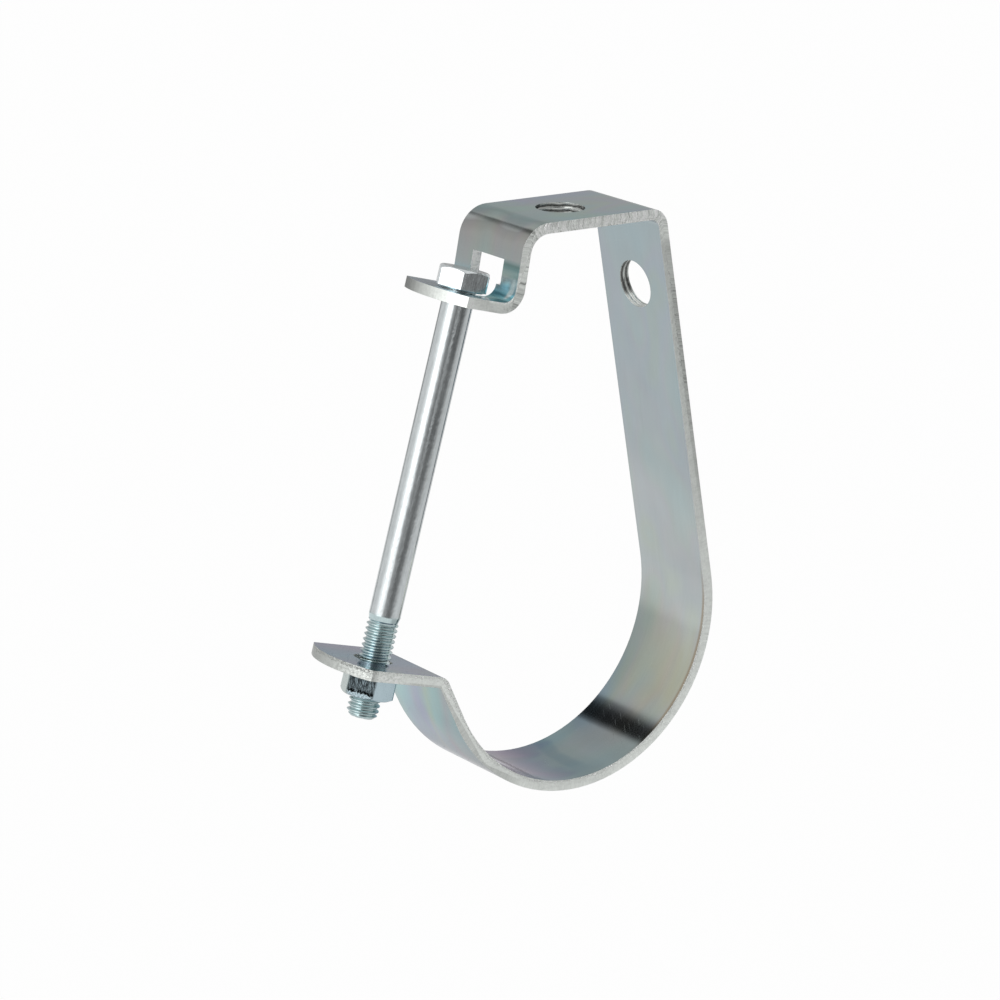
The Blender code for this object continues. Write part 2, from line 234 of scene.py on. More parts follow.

# Single tints of the film, of the bolt's thread and of the nut's faces; among them the colours of a painted
# highlight and a painted dark reflection, and the painted shade of the nut's left face
LIP_END_TINT = (1.26, 1.30, 1.22)
BEHIND_HEAD_COLOUR = (0.80, 1.04, 1.28)
PLATE_FAR_TINT = (1.00, 0.88, 1.14)
PLATE_NEAR_TINT = (0.86, 1.04, 1.06)
PAINTED_HIGHLIGHT_COLOUR = (2.45, 2.40, 2.30)
LINE_TINT = (0.80, 0.86, 0.91)
PAINTED_REFLECTION_COLOUR = (0.03, 0.025, 0.04)
RIM_STAIN_COLOUR = (0.30, 0.24, 0.17)
THREAD_TINT = (0.84, 0.96, 0.96)
NUT_TINT = (0.88, 1.03, 1.10)
NUT_LEFT_FACE_SHADE = (0.74, 0.80, 0.76)

# The room's walls, as the metal sees them: bearing in degrees from +Y towards +X, and level
TOP_LEVEL = 3.0
CEILING_LEVEL = 0.75
BOX_FOOT_LEVEL = 1.25
FAR_FLOOR_LEVEL = 0.84
ROOM_WALLS = [
    (-180, 0.20), (-152, 0.22), (-142, 0.30), (-133, 0.44), (-125, 0.9), (-116, 2.4),
    (-93, 2.6), (-84, 1.6), (-76, 1.2), (-64, 0.95), (-52, 0.84), (-38, 0.86), (-24, 0.82),
    (-8, 0.66), (6, 0.57), (22, 0.62), (36, 0.50), (64, 0.80), (134, 0.72), (162, 0.42), (180, 0.20),
]

# Heights over the horizon at which the soft box ends and the ceiling begins, and the soft horizon
BOX_FOOT = (radians(9), radians(3))
CEILING = (radians(38), radians(62))
HORIZON = (-0.003, -0.020)

# The dark card behind: its right and left bearings, and the middle, half and softness of its height
CARD_RIGHT = (radians(2), radians(-4))
CARD_LEFT = (radians(-24), radians(-12))
CARD_HEIGHT = (radians(46.5), radians(9.5), radians(2.5))
CARD_DARKNESS = 0.97

# The floor to the metal: where it darkens in metres, and by how much
FLOOR_SIZE = 12
FRONT = ((-0.35, -1.5), 0.80)
BEHIND = ((1.1, 2.4), (-1.6, -0.2), 0.62)
UNDER = ((0.42, 0.20), 0.17)
UNDER_RIGHT = ((-0.02, 0.10), (0.55, 0.30), 0.22)
RIGHT = ((0.1, 0.6), 0.24)
FAR_OFF = ((0.9, 3.6), 0.15)

# How much of the floor is glow to the camera and to the metal; the rest takes light and shadow
GLOW_TO_CAMERA = 0.96
GLOW_TO_METAL = 0.98


# Properties


class StrapLook(bpy.types.PropertyGroup):
    """The folded strap's finish."""

    edge_break: FloatProperty(
        name="Edge break", description="Rounding of the sheared edges",
        default=0.00034, min=0.00005, max=0.0008, unit="LENGTH")
    sheet_colour: FloatVectorProperty(
        name="Sheet", description="Colour of the plated faces",
        default=(0.345, 0.398, 0.415), size=3, subtype="COLOR")
    edge_colour: FloatVectorProperty(
        name="Sheared edge", description="Colour of the sheared and punched walls",
        default=(0.632, 0.658, 0.633), size=3, subtype="COLOR")
    roughness: FloatProperty(
        name="Roughness", description="Roughness of the plated faces", default=0.115, min=0, max=1)


class BoltLook(bpy.types.PropertyGroup):
    """The bolt's and the nut's finish and thread."""

    thread_length: FloatProperty(
        name="Thread length", description="From the bolt's tip to the shank",
        default=0.03, unit="LENGTH")
    crest: FloatProperty(
        name="Crest radius", description="Radius of the bolt's thread at its crests",
        default=0.0046, unit="LENGTH")
    root: FloatProperty(
        name="Root radius", description="Radius of the bolt's thread at its roots",
        default=0.00385, unit="LENGTH")
    neck_step: FloatProperty(
        name="Neck step", description="How much the neck above the thread is thinner than the shank",
        default=0.0003, unit="LENGTH")
    neck_length: FloatProperty(
        name="Neck length", description="Length of the cone from the shank to the thread",
        default=0.0014, unit="LENGTH")
    play: FloatProperty(
        name="Play", description="Radial play between the two threads", default=0.0002, unit="LENGTH")
    colour: FloatVectorProperty(
        name="Bolt", description="Colour of the bolt's plating",
        default=(0.585, 0.62, 0.63), size=3, subtype="COLOR")
    roughness: FloatProperty(
        name="Roughness", description="Roughness of the bolt's plating", default=0.14, min=0, max=1)


class StageLook(bpy.types.PropertyGroup):
    """The camera and the room."""

    azimuth: FloatProperty(
        name="Azimuth", description="Camera's bearing; zero looks along +Y",
        default=radians(-36.1146), subtype="ANGLE")
    elevation: FloatProperty(
        name="Elevation", description="Camera's height above the horizon",
        default=radians(16.1144), subtype="ANGLE")
    roll: FloatProperty(
        name="Roll", description="Camera's turn about its own line of sight",
        default=radians(1.3697), subtype="ANGLE")
    distance: FloatProperty(
        name="Distance", description="From the camera to the middle of the cradle",
        default=1.18986, unit="LENGTH")
    right: FloatProperty(
        name="Right", description="Camera's shift to its right", default=-0.01558, unit="LENGTH")
    up: FloatProperty(
        name="Up", description="Camera's shift upwards", default=0.0339, unit="LENGTH")
    lens: FloatProperty(
        name="Lens", description="Focal length in millimetres on a 36 mm sensor", default=145.907,
        unit="CAMERA")
    floor_drop: FloatProperty(
        name="Floor drop", description="How far below the hanger the floor lies",
        default=0.16, unit="LENGTH")


# Shader maths


def sum_node(operation):
    """What a Python operator does with a value: a Math node."""
    return lambda value, *others: value.math(operation, *others)


class Value:
    """A socket that Python's operators turn into Math nodes."""

    __add__ = sum_node("ADD")
    __sub__ = sum_node("SUBTRACT")
    __mul__ = sum_node("MULTIPLY")
    __truediv__ = sum_node("DIVIDE")
    __pow__ = sum_node("POWER")
    __abs__ = sum_node("ABSOLUTE")

    def __init__(self, finish, socket):
        self.finish = finish
        self.socket = socket

    def __rsub__(self, other):
        return self.finish.math("SUBTRACT", other, self)

    def math(self, operation, *others):
        return self.finish.math(operation, self, *others)

    def step(self, low, high):
        """Zero below low and one above high, smooth between; low may be the greater."""
        if low > high:
            return 1 - self.step(high, low)
        settings = {"interpolation_type": "SMOOTHSTEP"}
        inputs = {"Value": self, "From Min": low, "From Max": high}
        return self.finish.node("ShaderNodeMapRange", settings, inputs)

    def band(self, middle, half, soft):
        """One near the middle, zero further off than half, with a soft edge."""
        return abs(self - middle).step(half + soft, half - soft)

    def within(self, stretch):
        """One inside a stretch, which tells where it begins, is full, fades and ends."""
        begin, full, fade, end = stretch
        return self.step(begin, full) * self.step(end, fade)


class Finish:
    """The nodes of one material or of the world."""

    def __init__(self, tree):
        self.nodes = tree.nodes
        self.links = tree.links

    def node(self, kind, settings=None, inputs=None, output=0):
        """Adds a node, makes its settings, feeds its inputs and gives one of its outputs."""
        made = self.nodes.new(kind)
        for name, setting in (settings or {}).items():
            if name == "stops":
                self.set_stops(made.color_ramp, setting)
            else:
                setattr(made, name, setting)
        for name, value in (inputs or {}).items():
            self.feed(made.inputs[name], value)
        return Value(self, made.outputs[output])

    def set_stops(self, ramp, stops):
        while len(ramp.elements) < len(stops):
            ramp.elements.new(0.5)
        for element, (place, *colour) in zip(ramp.elements, stops):
            element.position = place
            element.color = (*(colour * 3)[:3], 1)

    def feed(self, socket, value):
        if isinstance(value, Value):
            self.links.new(value.socket, socket)
        elif hasattr(value, "__len__") and len(value) == 3 and len(socket.default_value) == 4:
            socket.default_value = (*value, 1)
        else:
            socket.default_value = value

    def math(self, operation, *values):
        return self.node("ShaderNodeMath", {"operation": operation}, dict(enumerate(values)))

    def gradient(self, stops, place):
        """The colour at a place from zero to one. A stop is a place and a colour or a level."""
        return self.node("ShaderNodeValToRGB", {"stops": stops}, {0: place})

    def mix(self, share, first, second, blend="MIX"):
        """Mixes two colours."""
        settings = {"data_type": "RGBA", "blend_type": blend}
        return self.node("ShaderNodeMix", settings, {0: share, 6: first, 7: second}, 2)

    def tint(self, colour, tint, share=None):
        """A colour times a tint, everywhere or by a share."""
        tinted = self.mix(1.0, colour, tint, "MULTIPLY")
        return tinted if share is None else self.mix(share, colour, tinted)

    def grey(self, level):
        return self.vector(level, level, level)

    def parts(self, vector):
        """The three parts of a vector."""
        split = self.node("ShaderNodeSeparateXYZ", None, {0: vector}).socket.node
        return [Value(self, socket) for socket in split.outputs]

    def vector(self, x, y, z):
        return self.node("ShaderNodeCombineXYZ", None, {0: x, 1: y, 2: z})

    def along(self, place, way):
        """How far a place lies along a way."""
        return self.node(
            "ShaderNodeVectorMath", {"operation": "DOT_PRODUCT"}, {0: place, 1: tuple(way)}, "Value")

    def noise(self, place, size, stretch=(1, 1, 1), detail=2.0, rough=0.6):
        """Noise whose patches are about size across, drawn out by stretch."""
        scale = tuple(1 / (size * share) for share in stretch)
        scaled = self.node("ShaderNodeMapping", None, {"Vector": place, "Scale": scale})
        inputs = {"Vector": scaled, "Scale": 1.0, "Detail": detail, "Roughness": rough}
        return self.node("ShaderNodeTexNoise", None, inputs)

    def bump(self, height, distance, below=None):
        """Relief of a height, laid over the relief below it."""
        inputs = {"Height": height, "Distance": distance}
        if below is not None:
            inputs["Normal"] = below
        return self.node("ShaderNodeBump", None, inputs)


class Plating(Finish):
    """A metallic material with its Principled shader."""

    def __init__(self, name):
        self.material = bpy.data.materials.new(name)
        self.material.use_nodes = True
        super().__init__(self.material.node_tree)
        self.shader = self.nodes["Principled BSDF"]
        self.shader.inputs["Metallic"].default_value = 1.0

    def place(self, attribute=None):
        """Where on the piece the surface is: its own attribute, or object coordinates."""
        if attribute:
            return self.node("ShaderNodeAttribute", {"attribute_name": attribute}, output="Vector")
        return self.node("ShaderNodeTexCoord", output="Object")

    def wear(self, colour, roughness, relief):
        for name, value in (("Base Color", colour), ("Roughness", roughness), ("Normal", relief)):
            self.feed(self.shader.inputs[name], value)
        return self.material


# Materials


def film_and_painted_light(finish, along, across, place, through):
    """The passivate's faint iridescence, which changes along the strap and from side to side, with painted
    highlights beside the window and a painted dark reflection across the cradle.
    """
    drift = finish.noise(place, 0.026, (1.5, 0.6, 1), 2.0, 0.5) - 0.5
    slant = (across * 0.35 + drift * 0.05) * (along.step(0.09, 0.14) * 0.85 + 0.15)
    reach = (along + slant) / STRAP_REACH
    beside_window = across.step(-0.004, -0.006) * along.step(-0.003, 0.0)
    outer = outer_film_and_highlights(finish, along, across, drift, reach, beside_window)
    inner = inner_film_and_reflection(finish, along, across, drift, reach)
    side = through.step(-FACE_SPLIT, FACE_SPLIT)
    patch = finish.noise(place, 0.021, (1.6, 0.75, 1), 1.5, 0.45)
    calm = along.within(CALM_LEG) * 0.42
    strength = side * (0.54 - calm - beside_window * along.step(0.017, 0.014) * 0.6)
    strength += along.step(0.325, 0.335) * (1 - side) * 0.42 + 0.33
    mottle = finish.mix(strength, (1, 1, 1), finish.gradient(MOTTLE, patch))
    return finish.tint(finish.mix(side, inner, outer), mottle)


def outer_film_and_highlights(finish, along, across, drift, reach, beside_window):
    """The film on the outside: the upper ear, the short leg, the plate and the lip's underside, with painted
    highlights beside the window.
    """
    colour = finish.gradient(OUTER_FILM, reach)
    stripe = (across + drift * 0.013 + (along - 0.31) * 0.30) / STRAP_WIDTH + 0.5
    lip = finish.tint(finish.gradient(LIP_FILM, stripe), LIP_END_TINT, along.step(0.296, 0.326))
    colour = finish.mix(along.step(0.28, 0.29), colour, lip)
    behind_head = across.step(-0.004, 0.006) * along.step(0.001, -0.004)
    colour = finish.mix(behind_head, colour, BEHIND_HEAD_COLOUR)
    plate = along.within(PLATE_TOP) * 0.9
    colour = finish.tint(colour, PLATE_FAR_TINT, plate * across.step(0.006, 0.0135))
    near = (across + drift * 0.02).step(-0.004, -0.012)
    colour = finish.tint(colour, PLATE_NEAR_TINT, plate * near)
    # Film beside the window, with a painted highlight in the ramp's brightest stops
    corner = finish.gradient(CORNER_FILM_AND_HIGHLIGHT, along / CORNER_REACH)
    colour = finish.tint(colour, corner, beside_window)
    # A painted highlight: a pale spot in the base colour
    off = along - PAINTED_HIGHLIGHT_PLACE[0]
    painted_highlight = (off / PAINTED_HIGHLIGHT_REACH[0]) ** 2 + ((across - PAINTED_HIGHLIGHT_PLACE[1] + off * 0.15) / PAINTED_HIGHLIGHT_REACH[1]) ** 2
    return finish.mix(painted_highlight.step(1.5, 0.2), colour, PAINTED_HIGHLIGHT_COLOUR)


def inner_film_and_reflection(finish, along, across, drift, reach):
    """The film on the inside: the long leg, the cradle and the lower ear's top, with a painted dark reflection
    across the cradle.
    """
    breadth = across / STRAP_WIDTH + 0.5
    colour = finish.gradient(INNER_FILM, reach)
    wide = finish.gradient(CRADLE_ACROSS, breadth + drift * 0.2)
    colour = finish.tint(colour, wide, along.within(CRADLE_FOOT))
    line = (along + across * LINE_SLOPE + drift * 0.006 - LINE_PLACE) / LINE_REACH
    colour = finish.tint(colour, LINE_TINT, (line * line).step(1.0, 0.0) * across.step(-0.014, -0.004))
    # A painted dark reflection: a dark band across the cradle, stronger towards the far edge
    band = along.within(PAINTED_REFLECTION_BAND) * across.step(-0.013, 0.010)
    colour = finish.mix(band * 0.40, colour, PAINTED_REFLECTION_COLOUR)
    wide = finish.gradient(EAR_ACROSS, breadth + drift * 0.3)
    return finish.tint(colour, wide, along.step(0.328, 0.335))


def sheet_finish(look):
    """Bright zinc on the rolled faces: faint tints with painted highlights and a painted dark reflection, grain
    along the strap and fine scratches.
    """
    zinc = Plating("sheet_zinc")
    place = zinc.place("blank")
    along, across, through = zinc.parts(place)
    tinted = zinc.tint(look.sheet_colour, film_and_painted_light(zinc, along, across, place, through))
    cloud = zinc.noise(place, 0.012, (1.6, 1, 1), 3.0, 0.55)
    grain = zinc.noise(place, 0.00035, (26, 1, 1))
    slanted = zinc.node("ShaderNodeMapping", None, {"Vector": place, "Rotation": (0, 0, 0.9)})
    scratch = zinc.noise(slanted, 0.0012, (7, 0.20, 1), 1.0, 0.4).step(0.69, 0.75)
    scratch *= along.step(0.18, 0.22)
    shade = (cloud - 0.5) * 0.16 + (grain - 0.5) * 0.10 + 1.0
    colour = zinc.tint(tinted, zinc.grey(shade))
    rim = across.step(-0.0139, -0.0147) * through.step(0, -0.0008) * along.within(RIM_STAIN)
    colour = zinc.mix(rim * 0.75, colour, RIM_STAIN_COLOUR)
    bend = through.step(-FACE_SPLIT, FACE_SPLIT) * along.within(LOWER_BEND)
    rough = (cloud - 0.5) * 0.07 + (grain - 0.5) * 0.06 + scratch * 0.15 + bend * 0.12
    waves = zinc.bump(zinc.noise(place, 0.010, (2.2, 1, 1), 1.0, 0.4), 0.00003)
    return zinc.wear(colour, rough + look.roughness, zinc.bump(grain, 0.000002, waves))


def edge_finish(look):
    """Sheared walls: paler and rougher, with the shear's lines, dark tears and pale crumbs; with painted shade on
    the ears' ends, and painted light on the window's walls and near the top-right bend.
    """
    wall = Plating("sheared_zinc")
    place = wall.place("blank")
    along, across, through = wall.parts(place)
    lines = wall.noise(place, 0.00028, (1, 40, 22), 2.0, 0.75).step(0.36, 0.64)
    broad = wall.noise(place, 0.0030, (1, 1, 1.4), 3.0, 0.6)
    crumb = wall.noise(place, 0.0008, (1.3, 1, 0.8), 3.0, 0.65)
    fine = wall.noise(place, 0.0005, (1.2, 1, 1))
    plate, fold, leg = (along.within(stretch) for stretch in (PLATE_WALL, FOLD_WALL, LEG_WALL))

    # The tones' high stops near the top-right bend are a painted highlight
    tones_and_highlight = [(reach, tone_and_painted_light / 2) for reach, tone_and_painted_light in WALL_TONES_AND_HIGHLIGHT]
    tone_and_painted_light = wall.gradient(tones_and_highlight, along / STRAP_REACH) * 2
    # Painted shade on the ears' end walls: paler on the near side, darker towards the far side
    upper_end_shade = along.step(-0.006, -0.011) * (across.step(-0.012, 0.016) * 0.90 - 0.18)
    lower_end_shade = along.step(0.3555, 0.3585) * (across.step(-0.006, 0.014) * 0.20 + 0.38)
    tone_and_painted_light *= (1 - upper_end_shade) * (1 - lower_end_shade) * 0.96

    outer = through.step(-0.0006, 0.0010)
    torn = crumb.step(0.60, 0.68) * (plate * 0.35 + 0.06)
    torn += crumb.step(0.52, 0.60) * fold * (1 - outer) * 0.6
    torn += crumb.step(0.50, 0.62) * leg * outer * 0.45
    torn += broad.step(0.56, 0.66) * plate * through.step(-0.0004, -0.0012) * 0.5
    chip = ((along - CHIP_PLACE) / CHIP_REACH[0]) ** 2 + (through / CHIP_REACH[1]) ** 2
    torn += chip.step(1.4, 0.3) * crumb.step(0.40, 0.58) * 0.7

    inside = through.step(-0.0003, -0.0012) * along.step(0.185, 0.215)
    crease = through.step(0.0008, 0.0013) * along.within(CREASE_WALL)
    nicks = crumb.step(0.50, 0.38) * (inside + fold * 0.5 + plate * 0.3)
    nicks += crease * fine.step(0.35, 0.6)

    lip = through.step(0.0007, 0.0012) * along.within(LIP_WALL)
    dusk = through.step(0.0001, 0.0010) * along.band(*DUSK)
    rim = through.step(0.0007, 0.0013) * along.within(LEG_RIM)
    # Painted light: the window's walls in the fold are made paler
    painted_window_light = abs(across).step(0.012, 0.010)
    end = along.step(0.345, 0.352) * across.step(-0.002, -0.008)
    shade = (broad - 0.5) * 0.22 + (lines - 0.5) * (plate * 0.44 + 0.06)
    shade += (crumb - 0.5) * (fold * 0.5 + 0.35)
    shade += (crumb - 0.5) * end * 1.1 - inside * crumb.step(0.40, 0.52) * 0.13
    shade += 1.0 - lip * 0.22 - dusk * 0.30 + painted_window_light * fold * 0.25
    shade += (fine - 0.5) * (leg * 0.30 + fold * 0.35 + plate * 0.25 + 0.12)
    shade += nicks * 0.40 - torn * 0.75 - rim * 0.20
    colour = wall.tint(look.edge_colour, wall.grey((shade * tone_and_painted_light).math("MINIMUM", PALEST_WALL)))

    rough = (lines - 0.5) * 0.08 + torn * 0.15 + 0.38 - nicks * 0.12
    pits = wall.bump(fine - torn, 0.0001)
    chips = wall.bump(1 - nicks, 0.0004, pits)
    cuts = wall.bump(lines * (plate * 0.7 + 0.1), 0.00008, chips)
    return wall.wear(colour, rough, wall.bump(broad, 0.00012, cuts))


def hole_finish(look, side_hole):
    """The punched holes' walls, with the rings that the punch and the break leave.

    The side hole's foot has a painted highlight. Its centre lies side_hole along the blank.
    """
    wall = Plating("punched_zinc")
    place = wall.place("blank")
    along, _, through = wall.parts(place)
    drift = wall.noise(place, 0.0035, (1, 1, 3), 2.0, 0.5)
    rings = ((through + drift * 0.0009) * (2 * pi / RING_PITCH)).math("SINE")
    rough = wall.noise(place, 0.0009, (1, 1, 1))
    # Painted highlight: the side hole's foot is made pale
    foot = along.step(side_hole + 0.0032, side_hole + 0.0056)
    shade = rings * (0.36 - foot * 0.30) + (rough - 0.5) * 0.4 + 0.50 + foot
    colour = wall.tint(look.edge_colour, wall.grey(shade))
    return wall.wear(colour, (rough - 0.5) * 0.2 + 0.24, wall.bump(rings, 0.00016))


def bolt_place(finish):
    """Object coordinates turned so that Z runs along the bolt."""
    turned = {"Vector": finish.place(), "Rotation": (0, -BOLT_LEAN, 0)}
    return finish.node("ShaderNodeMapping", {"vector_type": "POINT"}, turned)


def bolt_finish(look):
    """Bright plated bolt: nearly a mirror, with faint drawing lines and orange peel."""
    zinc = Plating("bolt_zinc")
    place = bolt_place(zinc)
    height = zinc.parts(place)[2] - BOLT_SEAT.z
    cloud = zinc.noise(place, 0.006, (1, 1, 2.2), 3.0, 0.55)
    drawn = zinc.noise(place, 0.0004, (1, 1, 22))
    peel = zinc.noise(place, 0.0011, (1, 1, 1.8))
    streaks = zinc.noise(place, 0.0003, (1, 1, 12), 3.0, 0.7).step(0.48, 0.62)
    head = height.step(0.0003, 0.0006)
    shade = (cloud - 0.5) * 0.14 + (drawn - 0.5) * 0.30 + (peel - 0.5) * 0.26 + 1.0
    shade += head * (0.38 - streaks * 0.34)
    thread = height.step(THREAD_TOP + 0.0008, THREAD_TOP - 0.0004)
    colour = zinc.tint(zinc.tint(look.colour, THREAD_TINT, thread), zinc.grey(shade))
    rough = (cloud - 0.5) * 0.14 + (drawn - 0.5) * 0.10 + look.roughness
    return zinc.wear(colour, rough, zinc.bump(drawn, 0.000008, zinc.bump(peel, 0.00003)))


def nut_finish(look, flat, reach, low):
    """Plated nut: pale blue faces, a left face with painted shade, and one face that the dies scored upright.

    The scored face looks along flat, at reach from the bolt's axis. The nut's foot is at low.
    """
    zinc = Plating("nut_zinc")
    place = bolt_place(zinc)
    left = flat.cross(Vector((0, 0, 1)))
    height = zinc.parts(place)[2] - (BOLT_SEAT.z + low)
    out = zinc.along(place, flat) - BOLT_SEAT.dot(flat)
    beside = zinc.along(place, left) - BOLT_SEAT.dot(left)
    cloud = zinc.noise(place, 0.004, (1, 1, 1.5), 3.0, 0.55)
    score = zinc.noise(place, 0.00022, (1, 1, 7), 3.0, 0.75)
    crumbs = zinc.noise(place, 0.0005, (1, 1, 1), 3.0, 0.7)
    face = out.step(reach - 0.00035, reach - 0.00008)
    foot = face * height.step(0.0020, 0.0012)
    scored = face * (height + (crumbs - 0.5) * 0.0020).step(0.0008, 0.0012)
    shade = (cloud - 0.5) * 0.20 + (score - 0.5) * 0.12 + 1.0
    shade -= scored * (0.93 - score.step(0.44, 0.66) * 0.66)
    shade -= (crumbs.step(0.40, 0.60) * 0.42 + 0.18) * foot
    # Painted shade: the nut's left face is tinted darker than the others
    tint = zinc.mix(beside.step(0.0030, 0.0046), NUT_TINT, NUT_LEFT_FACE_SHADE)
    colour = zinc.tint(zinc.tint(look.colour, tint), zinc.grey(shade))
    rough = (score - 0.5) * 0.15 + scored * 0.2 + 0.25
    return zinc.wear(colour, rough, zinc.bump(score * (scored * 0.9 + 0.1), 0.0002))


# Modelling


def only(piece):
    """Makes one object the only selected and active one."""
    bpy.ops.object.select_all(action="DESELECT")
    piece.select_set(True)
    bpy.context.view_layer.objects.active = piece


@contextmanager
def editing(piece):
    """Edit mode on one piece, with all of it selected."""
    only(piece)
    bpy.ops.object.mode_set(mode="EDIT")
    bpy.ops.mesh.select_all(action="SELECT")
    yield
    bpy.ops.object.mode_set(mode="OBJECT")


def solid_copy(node, name, frame_of=None):
    """A merged copy of a solid's mesh as a new piece, in its own frame if one is given."""
    piece = bpy.data.objects.new(name, frame["nodes"][node].data.copy())
    bpy.context.scene.collection.objects.link(piece)
    piece.data.materials.clear()
    if frame_of is not None:
        piece.data.transform(frame_of.inverted())
    with editing(piece):
        bpy.ops.mesh.remove_doubles(threshold=SAME_PLACE)
        bpy.ops.mesh.customdata_custom_splitnormals_clear()
        bpy.ops.mesh.dissolve_limited(angle_limit=FLAT_ANGLE)
    return piece


def apply_modifier(piece, kind, **settings):
    """Adds a modifier, makes its settings and applies it."""
    only(piece)
    bpy.ops.object.modifier_add(type=kind)
    modifier = piece.modifiers[-1]
    for name, value in settings.items():
        setattr(modifier, name, value)
    bpy.ops.object.modifier_apply(modifier=modifier.name)


def break_edges(piece, width, angle):
    """Rounds a piece's sharp edges and keeps its flats flat in the light."""
    apply_modifier(
        piece, "BEVEL", width=width, segments=3, limit_method="ANGLE", angle_limit=angle,
        use_clamp_overlap=True)
    only(piece)
    bpy.ops.object.shade_smooth_by_angle(angle=SMOOTH_ANGLE)
    apply_modifier(piece, "WEIGHTED_NORMAL", mode="FACE_AREA", keep_sharp=True)


def middle_line(node):
    """The strap's middle line, read from the thickness edges of the solid's far side wall."""
    bm = bmesh.new()
    bm.from_mesh(frame["nodes"][node].data)
    bmesh.ops.remove_doubles(bm, verts=bm.verts[:], dist=SAME_PLACE)
    far = max(corner.co.y for corner in bm.verts)
    wall = [edge for edge in bm.edges if all(abs(end.co.y - far) < SAME_PLACE for end in edge.verts)]
    inner = {edge for edge in wall if all(abs(face.normal.y) > 0.9 for face in edge.link_faces)}
    shortest = {
        end: min((edge for edge in end.link_edges if edge in inner), key=bmesh.types.BMEdge.calc_length)
        for end in {end for edge in inner for end in edge.verts}}
    cuts = [edge for edge in inner if all(shortest[end] is edge for end in edge.verts)]
    owner = {end: index for index, edge in enumerate(cuts) for end in edge.verts}
    beside = {index: set() for index in range(len(cuts))}
    for edge in wall:
        first, second = (owner.get(end) for end in edge.verts)
        if None not in (first, second) and first != second:
            beside[first].add(second)
            beside[second].add(first)
    ends = [index for index, near in beside.items() if len(near) == 1]
    order = [min(ends, key=lambda index: -cuts[index].verts[0].co.z)]
    while len(order) < len(cuts):
        order.append(next(index for index in beside[order[-1]] if index not in order[-2:]))
    line = np.array([
        sum((end.co.xz for end in cuts[index].verts), Vector((0, 0))) / 2 for index in order])
    bm.free()
    return np.concatenate((over_ear(line[2::-1])[None], line, over_ear(line[-3:])[None]))


def over_ear(last):
    """The middle line's end on an ear, from its last three points: the fold's last half turn and on."""
    first, second = np.diff(last, axis=0)
    turn = atan2(first[0] * second[1] - first[1] * second[0], first @ second) / 2
    way = second / np.hypot(*second) @ np.array(((cos(turn), sin(turn)), (-sin(turn), cos(turn))))
    return last[-1] + way * EAR_STRETCH


def blank_places(points, line):
    """Where points of the folded strap lie on the flat blank: along it, across it, and through it."""
    starts, steps = line[:-1], np.diff(line, axis=0)
    lengths = np.hypot(steps[:, 0], steps[:, 1])
    ways = steps / lengths[:, None]
    before = np.concatenate(([0], np.cumsum(lengths)[:-1])) - EAR_STRETCH
    gaps = points[:, None, [0, 2]] - starts[None]
    along = (gaps * ways).sum(2)
    low, high = np.zeros(len(lengths)), lengths.copy()
    low[0], high[-1] = -1.0, 1.0
    held = np.clip(along, low, high)
    misses = gaps - held[..., None] * ways
    nearest = (misses ** 2).sum(2).argmin(1)
    rows = np.arange(len(points))
    through = ways[nearest, 0] * gaps[rows, nearest, 1] - ways[nearest, 1] * gaps[rows, nearest, 0]
    return np.stack((before[nearest] + held[rows, nearest], points[:, 1], through), 1)


def outward_at(places, line):
    """The rolled faces' own outward way at places on the blank: steady on straights, even in folds."""
    steps = np.diff(line, axis=0)
    lengths = np.hypot(steps[:, 0], steps[:, 1])
    angles = np.unwrap(np.arctan2(steps[:, 1], steps[:, 0]))
    straight = lengths > STRAIGHT
    joints = np.where(
        straight[:-1], angles[:-1], np.where(straight[1:], angles[1:], (angles[:-1] + angles[1:]) / 2))
    reach = np.concatenate(([0], np.cumsum(lengths))) - EAR_STRETCH
    angle = np.interp(places[:, 0], reach, np.concatenate((angles[:1], joints, angles[-1:])))
    sign = np.where(places[:, 2] > 0, 1.0, -1.0)
    return np.stack((-np.sin(angle) * sign, np.zeros(len(angle)), np.cos(angle) * sign), 1)


def even_normals(piece, line):
    """Lights the rolled faces by the sheet's own way, so that facets and cuts don't show in them."""
    mesh = piece.data
    corners = np.array([corner.co for corner in mesh.vertices])
    outward = outward_at(blank_places(corners, line), line)
    centres = np.array([face.center for face in mesh.polygons])
    face_normals = np.array([face.normal for face in mesh.polygons])
    lean = (face_normals * outward_at(blank_places(centres, line), line)).sum(1)
    rolled = {
        corner for face, share in zip(mesh.polygons, lean) if share > ROLLED_LEAN
        for corner in face.vertices}
    normals = np.array([corner.vector for corner in mesh.corner_normals])
    for face, share in zip(mesh.polygons, lean):
        if share > BROKEN_LEAN:
            for loop in face.loop_indices:
                corner = mesh.loops[loop].vertex_index
                if corner in rolled:
                    normals[loop] = outward[corner]
    mesh.normals_split_custom_set(normals.tolist())


def lay_blank(piece, line):
    """Stores each corner's place on the flat blank, which the grain and the tints follow."""
    points = np.array([corner.co for corner in piece.data.vertices])
    blank = piece.data.attributes.new("blank", "FLOAT_VECTOR", "POINT")
    blank.data.foreach_set("vector", blank_places(points, line).astype(np.float32).ravel())


def sheet_normal(face, line):
    """How far a face of the strap looks out of the sheet: near one on rolled faces, zero on walls."""
    centre = np.array([face.center])
    tip = centre + np.array([face.normal]) * PROBE
    places = blank_places(np.concatenate((centre, tip)), line)
    return abs(places[1, 2] - places[0, 2]) / PROBE


